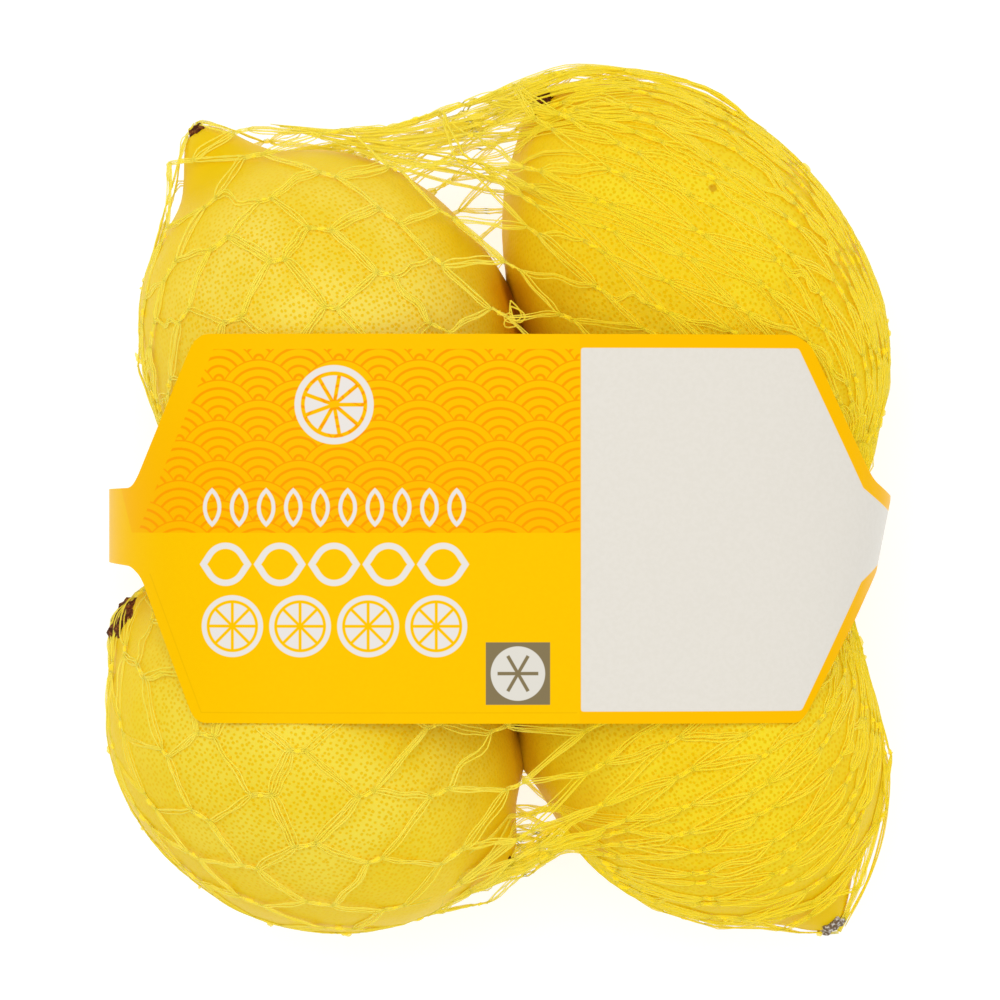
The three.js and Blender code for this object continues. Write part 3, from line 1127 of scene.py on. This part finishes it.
def label_material():
    """Printed film: fields of flat colour with simple citrus ornaments."""
    shader = Shader("label_print", Specular_IOR_Level=0.03, Specular_Tint=(1.0, 0.9, 0.5, 1.0))
    place = shader.place()
    x, y, _ = shader.axes(place)
    u = x * 1000 + PACK_MIDDLE[0]
    v = y * 1000 + PACK_MIDDLE[1]
    mottle = shader.noise(place, 0.8, detail=2.0)
    colour = shader.mix(mottle.ramp(0.4, 0.6) * 0.3, linear(255, 199, 0), linear(254, 195, 0))
    # Upper field, a little deeper in colour towards its lower edge, with lines in scallops.
    field = shown(polygon(u, v, [(-60, -5.3), (13.1, -5.3), (13.1, 40), (-72, 40)], 0.1))
    depth = v.ramp(28.0, -6.0)
    colour = shader.mix(field * (0.25 + depth * 0.75), colour, linear(254, 186, 0))
    ornament = shown(polygon(u, v, [(-59.0, -5.3), (13.1, -5.3), (13.1, 24.4), (-46.4, 24.4)], 0.2))
    rings = (scallops(u, v, 13.0) * 4.5).fraction()
    line = (abs(rings - 0.5) - 0.17 + mottle * 0.05).ramp(0.05, -0.05)
    colour = shader.mix(ornament * line * 0.95, colour, linear(255, 158, 0))
    white = linear(235, 230, 224)
    art = slice_shape(u, v, ART_MIDDLE, 15.4, 6.4, 9)
    # Three ornamental rows: leaves, whole lemons, slices.
    outside_rows = abs(u - ART_MIDDLE) - ART_HALF_WIDTH
    leaf_u = repeated(u, LEAF_PITCH)
    leaf = disc(leaf_u, v, -2.6, LEAF_ROW, 4.1).high(disc(leaf_u, v, 2.6, LEAF_ROW, 4.1))
    art = art.low(outline_of(leaf, 0.62).high(outside_rows))
    lemon_u = repeated(u, LEMON_PITCH)
    below, over = disc(lemon_u, v, 0, LEMON_ROW - 2.4, 4.85), disc(lemon_u, v, 0, LEMON_ROW + 2.4, 4.85)
    tips = below.high(over)
    lemon = tips.smooth_low(disc(lemon_u, v, 0, LEMON_ROW, 3.5), 0.8)
    art = art.low(outline_of(lemon, 1.0).high(outside_rows))
    slices = slice_shape(repeated(u, SLICE_PITCH), v, 0, SLICE_ROW, 5.0, 8)
    art = art.low(slices.high(outside_rows))
    colour = shader.mix(shown(art), colour, white)
    # Small grey badge with a frost star.
    badge = shown(polygon(u, v, [(-2.3, -33.1), (8.1, -33.1), (8.1, -23.0), (-2.3, -23.0)], 0.1))
    colour = shader.mix(badge, colour, linear(*BADGE_GREY))
    badge_u, badge_v = u - BADGE_MIDDLE[0], v - BADGE_MIDDLE[1]
    plate = shown(disc(u, v, *BADGE_MIDDLE, 4.4))
    colour = shader.mix(plate, colour, linear(226, 222, 212))
    away = (badge_u * badge_u + badge_v * badge_v).root()
    turn = badge_v.angle_to(badge_u) * (6 / TURN)
    arm = abs((turn + 0.5).fraction() - 0.5) * (math.pi / 3) * away - 0.28
    colour = shader.mix(shown(arm.high(away - 3.3)), colour, linear(*BADGE_GREY))
    # Off-white panel on the right, with a border of deeper yellow.
    border = shown(polygon(u, v, [(12.9, -60), (70, -60), (70, 60), (12.9, 60)], 0.1))
    colour = shader.mix(border * 0.8, colour, linear(255, 190, 0))
    body = polygon(u, v, [(13.1, -34.2), (49.0, -34.2), (62.9, -5.5), (48.5, 24.6), (13.1, 24.6)], 0.7)
    tab = [(55, -5), (59.0, -13.5), (61.6, -11.2), (66, -7.3), (66, -3.4), (59.3, 2.0)]
    panel = shown(body.low(polygon(u, v, tab, 0.1)))
    paper = shader.mix(mottle.ramp(0.35, 0.65) * 0.5, linear(231, 226, 216), linear(227, 222, 211))
    colour = shader.mix(panel, colour, paper)
    # Faint crease of the seal, just inside the lower edges.
    level_seam = beyond(u, v, (-48.4, -34.4), (10.0, -34.4))
    seam = level_seam.high(beyond(u, v, (-56.9, -12.0), (-48.4, -34.4)))
    seam_line = shown(abs(seam) - 0.10) * shown(u - 12.5) * shown(v + 12.0)
    colour = shader.mix(seam_line * 0.20, colour, linear(206, 150, 0))
    shader.set("Base Color", colour)
    shader.set("Roughness", 0.32 + mottle * 0.06)
    ripple = shader.noise(place, 26.0, detail=2.0)
    shader.set("Normal", shader.bump(ripple, 0.5, 0.35))
    return shader.material


def make_label():
    steps, rows = LABEL_STEPS_ALONG, LABEL_STEPS_ACROSS
    turn = np.linspace(-TURN / 4, TURN / 4, 2001)
    x = np.sign(turn) * LABEL_HALF_SPAN * np.abs(np.sin(turn)) ** (2 / ARCH_POWER)
    rise = LABEL_CREST_Z + LABEL_SLOPE * x - LABEL_END_Z
    z = LABEL_END_Z + rise * np.maximum(np.cos(turn), 0) ** (2 / ARCH_POWER)
    length = np.concatenate([[0], np.cumsum(np.hypot(np.diff(x), np.diff(z)))])
    even = np.linspace(0, length[-1], steps)
    x, z = np.interp(even, length, x), np.interp(even, length, z)
    outward = np.stack([-np.gradient(z), np.gradient(x)], axis=1)
    outward /= np.linalg.norm(outward, axis=1, keepdims=True)
    lower, upper = edge_curve(LABEL_LOWER_EDGE, x), edge_curve(LABEL_UPPER_EDGE, x)
    share = np.linspace(0, 1, rows)[None]
    y = lower[:, None] + (upper - lower)[:, None] * share
    rightness = np.maximum(0, x / LABEL_HALF_SPAN) ** RIGHT_LEAN_POWER
    lean = RIGHT_LEAN * np.minimum(0, y) * rightness[:, None]
    sheets = []
    for inset in (0.0, LABEL_THICKNESS):
        across = x[:, None] + lean - inset * outward[:, :1]
        height = np.broadcast_to(z[:, None] - inset * outward[:, 1:], y.shape)
        sheets.append(np.stack([across, y, height], axis=-1).reshape(-1, 3))
    points = np.vstack(sheets)
    grid = np.arange(steps * rows).reshape(steps, rows)
    corners = [grid[:-1, :-1], grid[1:, :-1], grid[1:, 1:], grid[:-1, 1:]]
    quads = np.stack(corners, axis=-1).reshape(-1, 4)
    under = quads[:, ::-1] + steps * rows
    rim = np.concatenate([grid[:, 0], grid[-1, 1:], grid[-2::-1, -1], grid[0, -2:0:-1]])
    after = np.roll(rim, -1)
    sides = np.stack([rim, rim + steps * rows, after + steps * rows, after], axis=1)
    faces = np.vstack([quads, under, sides])
    piece = make_piece("label_film", points, faces, label_material(), "label")
    piece.data.set_sharp_from_angle(angle=math.radians(40))
    return piece


# Stage


def make_stage():
    floor_shader = Shader("studio_floor", Roughness=0.9, Emission_Strength=0.7)
    floor_shader.set("Base Color", (0.45, 0.46, 0.48, 1.0))
    floor_shader.set("Emission Color", (0.96, 0.98, 1.0, 1.0))
    floor_shader.material.cycles.emission_sampling = "NONE"
    mesh = bpy.data.meshes.new("studio_floor")
    half = FLOOR_HALF_SIZE
    corners = [(-half, -half, 0), (half, -half, 0), (half, half, 0), (-half, half, 0)]
    mesh.from_pydata(corners, [], [(0, 1, 2, 3)])
    mesh.materials.append(floor_shader.material)
    add_object("studio_floor", mesh)


def make_light(name, place, size, power):
    light = bpy.data.lights.new(name, "AREA")
    light.shape = "SQUARE"
    light.size = size
    light.energy = power
    lamp = add_object(name, light)
    lamp.location = place
    x, y, z = np.array(place) - np.array(LIGHT_TARGET)
    lamp.rotation_euler = (math.atan2(math.hypot(x, y), z), 0, math.atan2(x, -y))


def make_lights():
    world = bpy.data.worlds.new("studio")
    world.use_nodes = True
    background = world.node_tree.nodes["Background"]
    background.inputs["Color"].default_value = (1, 1, 1, 1)
    background.inputs["Strength"].default_value = WORLD_STRENGTH
    bpy.context.scene.world = world
    make_light("softbox_over", (-0.25, 0.35, 1.3), 0.9, 5.9)
    make_light("softbox_side", (0.9, -0.5, 1.0), 0.7, 1.8)


def make_camera():
    camera = bpy.data.cameras.new("camera")
    camera.sensor_width = SENSOR_MM
    camera.lens = SENSOR_MM * CAMERA_DISTANCE / (PHOTO_PIXELS * PIXEL_MM)
    camera.clip_end = 10
    eye = add_object("camera", camera)
    middle = -PACK_MIDDLE * MM
    eye.location = (middle[0], middle[1], (CAMERA_DISTANCE + FRUIT_MIDDLE_Z) * MM)
    bpy.context.scene.camera = eye


fruit_pieces = [make_lemon(fruit) for fruit in FRUITS]
make_net()
stem_wood = wood_material("stem_wood", linear(72, 30, 8), linear(116, 58, 16), linear(150, 96, 44))
grey_wood = wood_material(
    "scar_grey_wood", linear(112, 92, 70), linear(166, 152, 136), linear(222, 217, 211)
)
for scar_name in SCARS:
    make_scar(scar_name, grey_wood if scar_name == "stem_scar_lower_right" else stem_wood)
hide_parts("lemons_in_net")
label_piece = make_label()
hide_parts("label")
make_stage()
make_lights()
make_camera()
bpy.context.scene.view_settings.view_transform = "Standard"
